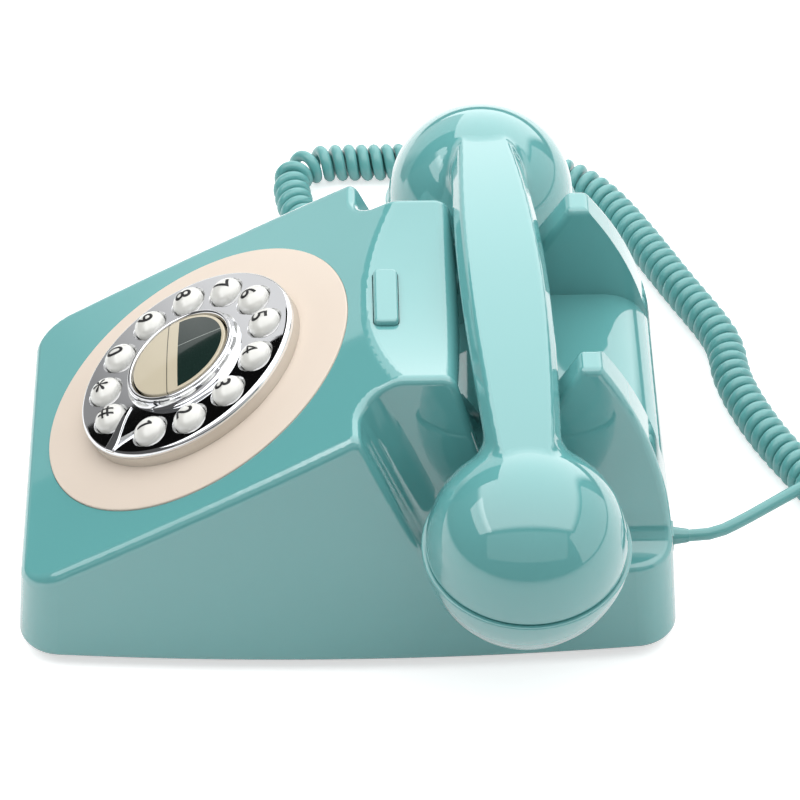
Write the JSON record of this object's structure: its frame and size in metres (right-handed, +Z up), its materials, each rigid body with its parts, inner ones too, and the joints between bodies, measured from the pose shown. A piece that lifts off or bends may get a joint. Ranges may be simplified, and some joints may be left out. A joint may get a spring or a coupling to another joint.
{
  "type": "desk telephone",
  "caption": "Desk telephone with a sloping face, a ring of push keys in place of a dial, a centre redial button, and a lift-off handset on a cradle with a curly cord.",
  "frame": {"origin": "on the table, under the middle of the case", "axes": "+X to the user's right, -Y to the front where the user sits, +Z up"},
  "size_m": [0.3147, 0.318, 0.1045],
  "materials": {
    "teal_plastic": "glossy moulded plastic, pale teal",
    "cream_plastic": "satin cream moulded plastic",
    "key_plastic": "satin off-white moulded plastic with a printed sign",
    "chrome_trim": "bright plated trim",
    "base_plastic": "black moulded plastic, fine texture",
    "plug_plastic": "translucent plug, teal sleeve",
    "foot_rubber": "black rubber",
    "mat_rubber": "grey silicone mat",
    "cord_jacket": "smooth teal cord jacket",
    "screw_steel": "zinc-plated steel",
    "ballast_iron": "plain weight plate",
    "gong_brass": "bright brass gong",
    "coil_winding": "varnished copper winding",
    "board_laminate": "green circuit board"
  },
  "bodies": {
    "case": {"upper_case": "teal_plastic", "base_plate": "base_plastic", "rubber_feet": "foot_rubber", "case_screws": "screw_steel", "dial_surround": "cream_plastic", "dial_bezel": "chrome_trim", "centre_ring": "chrome_trim", "finger_stop": "chrome_trim", "keypad_chassis": "base_plastic", "keypad_mat": "mat_rubber", "keypad_board": "board_laminate", "keypad_screws": "screw_steel", "hook_bracket": "screw_steel", "hook_switch": "base_plastic", "ringer_frame": "screw_steel", "ringer_gongs": "gong_brass", "ringer_coils": "coil_winding", "main_board": "board_laminate", "ballast_plate": "ballast_iron", "cord_socket": "base_plastic", "line_socket": "base_plastic", "cord_plug": "plug_plastic", "case_cord_tail": "cord_jacket", "handset_cord_curls": "cord_jacket", "handset_cord_tail": "cord_jacket"},
    "handset": {"handset_shell": "teal_plastic", "earpiece_cap": "teal_plastic", "mouthpiece_cap": "teal_plastic", "receiver_capsule": "base_plastic", "microphone_capsule": "base_plastic", "cord_grommet": "cord_jacket"},
    "key_1": {"key_1": "key_plastic"},
    "key_2": {"key_2": "key_plastic"},
    "key_3": {"key_3": "key_plastic"},
    "key_4": {"key_4": "key_plastic"},
    "key_5": {"key_5": "key_plastic"},
    "key_6": {"key_6": "key_plastic"},
    "key_7": {"key_7": "key_plastic"},
    "key_8": {"key_8": "key_plastic"},
    "key_9": {"key_9": "key_plastic"},
    "key_0": {"key_0": "key_plastic"},
    "key_star": {"key_star": "key_plastic"},
    "key_hash": {"key_hash": "key_plastic"},
    "redial": {"redial_button": "cream_plastic"},
    "hook": {"hook_bar": "teal_plastic"},
    "hammer": {"ringer_hammer": "screw_steel"}
  },
  "joints": [
    {"name": "handset_lift", "type": "slide", "parent": "case", "child": "handset", "axis": [0, 0, 1], "range_m": [0, 0.12], "deforming": ["handset_cord_tail"]},
    {"name": "key_1_press", "type": "slide", "parent": "case", "child": "key_1", "axis": [0, 0.4939, -0.8695], "range_m": [0, 0.0015], "stiffness_N_per_m": 300, "springref_m": -0.001},
    {"name": "key_2_press", "type": "slide", "parent": "case", "child": "key_2", "axis": [0, 0.4939, -0.8695], "range_m": [0, 0.0015], "stiffness_N_per_m": 300, "springref_m": -0.001},
    {"name": "key_3_press", "type": "slide", "parent": "case", "child": "key_3", "axis": [0, 0.4939, -0.8695], "range_m": [0, 0.0015], "stiffness_N_per_m": 300, "springref_m": -0.001},
    {"name": "key_4_press", "type": "slide", "parent": "case", "child": "key_4", "axis": [0, 0.4939, -0.8695], "range_m": [0, 0.0015], "stiffness_N_per_m": 300, "springref_m": -0.001},
    {"name": "key_5_press", "type": "slide", "parent": "case", "child": "key_5", "axis": [0, 0.4939, -0.8695], "range_m": [0, 0.0015], "stiffness_N_per_m": 300, "springref_m": -0.001},
    {"name": "key_6_press", "type": "slide", "parent": "case", "child": "key_6", "axis": [0, 0.4939, -0.8695], "range_m": [0, 0.0015], "stiffness_N_per_m": 300, "springref_m": -0.001},
    {"name": "key_7_press", "type": "slide", "parent": "case", "child": "key_7", "axis": [0, 0.4939, -0.8695], "range_m": [0, 0.0015], "stiffness_N_per_m": 300, "springref_m": -0.001},
    {"name": "key_8_press", "type": "slide", "parent": "case", "child": "key_8", "axis": [0, 0.4939, -0.8695], "range_m": [0, 0.0015], "stiffness_N_per_m": 300, "springref_m": -0.001},
    {"name": "key_9_press", "type": "slide", "parent": "case", "child": "key_9", "axis": [0, 0.4939, -0.8695], "range_m": [0, 0.0015], "stiffness_N_per_m": 300, "springref_m": -0.001},
    {"name": "key_0_press", "type": "slide", "parent": "case", "child": "key_0", "axis": [0, 0.4939, -0.8695], "range_m": [0, 0.0015], "stiffness_N_per_m": 300, "springref_m": -0.001},
    {"name": "key_star_press", "type": "slide", "parent": "case", "child": "key_star", "axis": [0, 0.4939, -0.8695], "range_m": [0, 0.0015], "stiffness_N_per_m": 300, "springref_m": -0.001},
    {"name": "key_hash_press", "type": "slide", "parent": "case", "child": "key_hash", "axis": [0, 0.4939, -0.8695], "range_m": [0, 0.0015], "stiffness_N_per_m": 300, "springref_m": -0.001},
    {"name": "redial_press", "type": "slide", "parent": "case", "child": "redial", "axis": [0, 0.4939, -0.8695], "range_m": [0, 0.0015], "stiffness_N_per_m": 400, "springref_m": -0.001},
    {"name": "hook_press", "type": "slide", "parent": "case", "child": "hook", "axis": [0, 0, -1], "range_m": [0, 0.004], "stiffness_N_per_m": 200, "springref_m": -0.002},
    {"name": "hammer_swing", "type": "hinge", "parent": "case", "child": "hammer", "pos_m": [0, -0.015, 0.0178], "axis": [0, 0, 1], "range_deg": [-4, 4], "stiffness_Nm_per_rad": 0.02}
  ]
}
